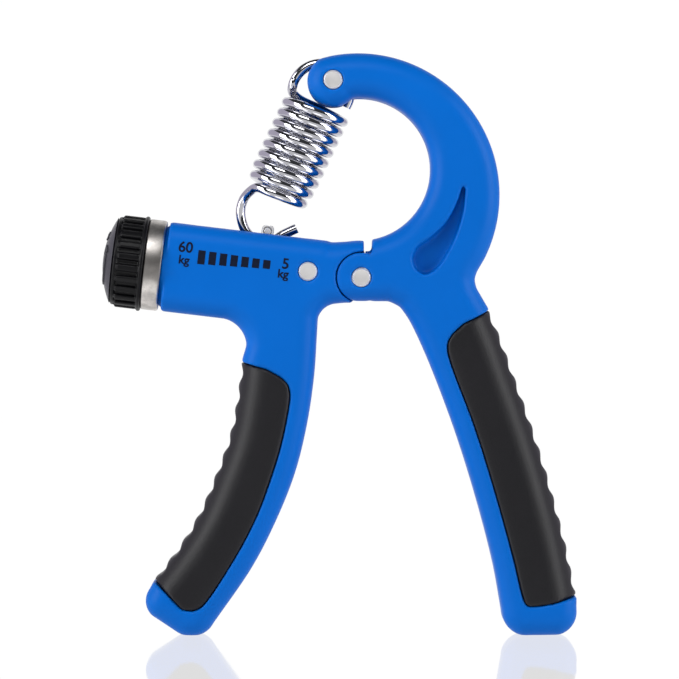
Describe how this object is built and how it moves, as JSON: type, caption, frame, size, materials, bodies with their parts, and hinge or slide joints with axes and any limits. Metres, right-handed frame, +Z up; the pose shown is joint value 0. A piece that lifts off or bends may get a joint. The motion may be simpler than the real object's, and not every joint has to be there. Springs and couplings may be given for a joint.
{
  "type": "hand grip strengthener",
  "caption": "Adjustable A-frame hand grip strengthener: two pivoted handles with rubber grips, a coil spring hooked to a curved arm, and a load knob on the barrel.",
  "frame": {"origin": "centre of the bounding box at the soles of the two handles", "axes": "+Z up from the soles to the curved arm, +X from the knob to the right handle, -Y towards the face with the load scale"},
  "size_m": [0.1269, 0.0256, 0.1557],
  "materials": {
    "blue_plastic": "satin injection-moulded blue plastic",
    "grip_rubber": "matt charcoal thermoplastic rubber",
    "black_plastic": "fine matt black plastic",
    "grey_plastic": "satin dark grey plastic",
    "satin_nickel": "satin nickel plating",
    "steel": "zinc-plated steel",
    "brass": "turned brass",
    "nylon": "natural nylon",
    "spring_chrome": "bright nickel-chrome plated spring wire"
  },
  "bodies": {
    "left_handle": {"left_handle": "blue_plastic", "left_grip": "grip_rubber", "barrel_collar": "satin_nickel", "thrust_washer": "steel", "screw_bush": "brass", "screw_retaining_pin": "steel", "pivot_sleeve": "brass"},
    "right_handle": {"right_handle": "blue_plastic", "right_grip": "grip_rubber", "pivot_pin": "steel", "spring_top_pin": "steel", "pivot_washer_front": "nylon", "pivot_washer_back": "nylon"},
    "knob": {"knob": "black_plastic", "knob_cap": "grey_plastic", "adjusting_screw": "steel"},
    "traveller": {"traveller_nut": "steel"},
    "spring_hook": {"spring_lower_hook": "spring_chrome", "traveller_bar": "steel"},
    "spring_lower": {"spring_first_coils": "spring_chrome"},
    "spring_middle": {"spring_coils_lower": "spring_chrome"},
    "spring_upper": {"spring_coils_upper": "spring_chrome"},
    "spring_top": {"spring_upper_hook": "spring_chrome"}
  },
  "joints": [
    {"name": "handle_squeeze", "type": "hinge", "parent": "left_handle", "child": "right_handle", "pos_m": [0.0056, 0, 0.0955], "axis": [0, 1, 0], "range_deg": [0, 41], "stiffness_Nm_per_rad": 7.5},
    {"name": "knob_turn", "type": "hinge", "parent": "left_handle", "child": "knob", "pos_m": [-0.0444, 0, 0.0981], "axis": [0.993, 0, -0.1184], "range_deg": [-315, 3510]},
    {"name": "nut_slide", "type": "slide", "parent": "left_handle", "child": "traveller", "axis": [-0.993, 0, 0.1184], "range_m": [-0.0013, 0.0146]},
    {"name": "bar_roll", "type": "hinge", "parent": "traveller", "child": "spring_hook", "pos_m": [-0.0194, 0, 0.1079], "axis": [0, 1, 0], "range_deg": [-1.3, 13]},
    {"name": "spring_swing", "type": "hinge", "parent": "spring_hook", "child": "spring_lower", "pos_m": [-0.0194, 0, 0.1079], "axis": [0, 1, 0], "range_deg": [0, 33.5], "deforming": ["spring_lower_hook"]},
    {"name": "spring_stretch_lower", "type": "slide", "parent": "spring_lower", "child": "spring_middle", "axis": [0.421, 0, 0.907], "range_m": [0, 0.0119], "deforming": ["spring_first_coils"]},
    {"name": "spring_stretch_knob", "type": "slide", "parent": "spring_middle", "child": "spring_upper", "axis": [0.421, 0, 0.907], "range_m": [-0.0008, 0.0089], "deforming": ["spring_coils_lower"]},
    {"name": "spring_stretch_upper", "type": "slide", "parent": "spring_upper", "child": "spring_top", "axis": [0.421, 0, 0.907], "range_m": [0, 0.0119], "deforming": ["spring_coils_upper", "spring_upper_hook"]}
  ],
  "couplings": [
    {"joint": "knob_turn", "follows": "nut_slide", "rad_per_m": 4188.8},
    {"joint": "bar_roll", "follows": "nut_slide", "rad_per_m": 15.411},
    {"joint": "spring_stretch_knob", "follows": "nut_slide", "ratio": 0.603},
    {"joint": "spring_swing", "follows": "handle_squeeze", "ratio": 0.8003},
    {"joint": "spring_stretch_lower", "follows": "handle_squeeze", "m_per_rad": 0.016226},
    {"joint": "spring_stretch_upper", "follows": "handle_squeeze", "m_per_rad": 0.016226}
  ]
}
